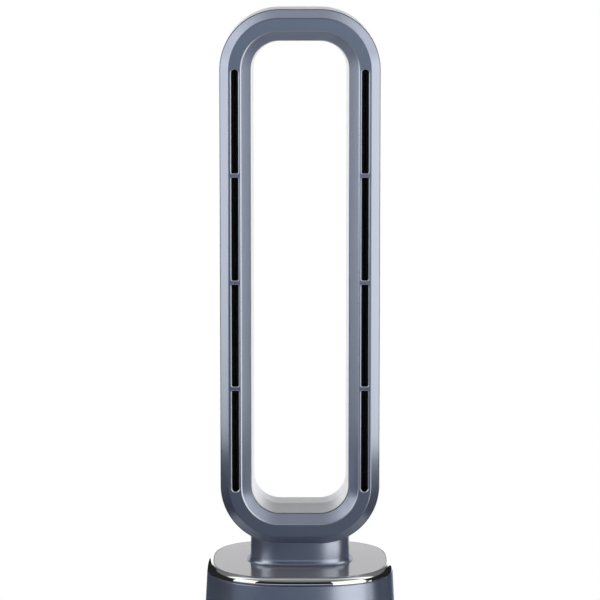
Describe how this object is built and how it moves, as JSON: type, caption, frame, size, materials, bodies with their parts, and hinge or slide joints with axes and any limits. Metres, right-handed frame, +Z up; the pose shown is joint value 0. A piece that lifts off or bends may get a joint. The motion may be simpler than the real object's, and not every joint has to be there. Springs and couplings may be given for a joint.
{
  "type": "bladeless tower fan",
  "caption": "Bladeless tower fan: a tall hollow loop with slotted air outlets on a tapered base that swivels on a round foot.",
  "frame": {"origin": "centre of the footprint, on the plane that the rubber feet stand on", "axes": "+Z up along the swivel axis, -Y out of the front, +X to the right seen from the front"},
  "size_m": [0.2676, 0.2676, 1.0092],
  "materials": {
    "dark_plastic": "fine satin grain",
    "black_rubber": "matt",
    "ballast_iron": "as cast",
    "white_nylon": "smooth",
    "plated_steel": "bright zinc",
    "silver_plastic": "silver pearl lacquer",
    "grey_lacquer": "blue grey satin metallic lacquer",
    "plate_metal": "polished",
    "ring_chrome": "mirror",
    "black_plastic": "satin",
    "panel_gloss": "high gloss",
    "button_plastic": "satin",
    "circuit_board": "solder mask",
    "pinion_brass": "machined",
    "winding_copper": "enamelled wire",
    "magnet_iron": "ground",
    "impeller_plastic": "glass filled",
    "filter_mesh": "open foam"
  },
  "bodies": {
    "foot": {"foot_plate": "dark_plastic", "rubber_feet": "black_rubber", "ballast_plate": "ballast_iron", "swivel_post": "white_nylon", "post_screws": "plated_steel", "slide_ring": "white_nylon", "fixed_gear": "white_nylon", "retaining_plate": "plated_steel", "retainer_screws": "plated_steel", "cord_grommet": "black_rubber"},
    "pinion": {"swivel_pinion": "pinion_brass"},
    "rotor": {"rotor_shaft": "plated_steel", "rotor_magnet": "magnet_iron", "impeller": "impeller_plastic", "impeller_nut": "pinion_brass"},
    "power_key": {"power_button": "button_plastic"},
    "speed_down_key": {"speed_down_button": "button_plastic"},
    "speed_up_key": {"speed_up_button": "button_plastic"},
    "timer_key": {"timer_button": "button_plastic"},
    "swivel_key": {"swivel_button": "button_plastic"},
    "body": {"body_floor": "dark_plastic", "deck": "dark_plastic", "intake_grille": "dark_plastic", "loop_gasket": "black_rubber", "blower_isolators": "black_rubber", "blower_housing": "white_nylon", "inlet_bell": "white_nylon", "motor_bucket": "white_nylon", "motor_cap": "white_nylon", "motor_endcap": "white_nylon", "floor_screws": "plated_steel", "deck_screws": "plated_steel", "blower_screws": "plated_steel", "loop_screws": "plated_steel", "swivel_motor": "plated_steel", "motor_stator": "plated_steel", "lower_bearing": "plated_steel", "upper_bearing": "plated_steel", "rear_shell": "silver_plastic", "front_cover": "grey_lacquer", "neck": "grey_lacquer", "body_shell": "grey_lacquer", "top_plate": "plate_metal", "chrome_ring": "ring_chrome", "left_air_guide": "black_plastic", "right_air_guide": "black_plastic", "left_outer_rail": "black_plastic", "left_inner_rail": "black_plastic", "right_inner_rail": "black_plastic", "right_outer_rail": "black_plastic", "flow_divider": "black_plastic", "neck_duct": "black_plastic", "control_panel": "panel_gloss", "display_lens": "panel_gloss", "control_board": "circuit_board", "power_board": "circuit_board", "stator_windings": "winding_copper", "intake_filter": "filter_mesh"}
  },
  "joints": [
    {"name": "swivel", "type": "hinge", "parent": "foot", "child": "body", "pos_m": [0, 0, 0.02], "axis": [0, 0, 1], "range_deg": [-40, 40]},
    {"name": "pinion_spin", "type": "hinge", "parent": "body", "child": "pinion", "pos_m": [0, 0.04688, 0.034], "axis": [0, 0, 1], "range_deg": [-165, 165]},
    {"name": "rotor_spin", "type": "hinge", "parent": "body", "child": "rotor", "pos_m": [0, 0, 0.16], "axis": [0, 0, 1], "continuous": true},
    {"name": "power_press", "type": "slide", "parent": "body", "child": "power_key", "axis": [0, 0.9986, -0.0523], "range_m": [0, 0.0008], "stiffness_N_per_m": 500, "springref_m": -0.0006},
    {"name": "speed_down_press", "type": "slide", "parent": "body", "child": "speed_down_key", "axis": [0, 0.9986, -0.0523], "range_m": [0, 0.0008], "stiffness_N_per_m": 500, "springref_m": -0.0006},
    {"name": "speed_up_press", "type": "slide", "parent": "body", "child": "speed_up_key", "axis": [0, 0.9986, -0.0523], "range_m": [0, 0.0008], "stiffness_N_per_m": 500, "springref_m": -0.0006},
    {"name": "timer_press", "type": "slide", "parent": "body", "child": "timer_key", "axis": [0, 0.9986, -0.0523], "range_m": [0, 0.0008], "stiffness_N_per_m": 500, "springref_m": -0.0006},
    {"name": "swivel_press", "type": "slide", "parent": "body", "child": "swivel_key", "axis": [0, 0.9986, -0.0523], "range_m": [0, 0.0008], "stiffness_N_per_m": 500, "springref_m": -0.0006}
  ],
  "couplings": [
    {"joint": "pinion_spin", "follows": "swivel", "ratio": 4}
  ]
}
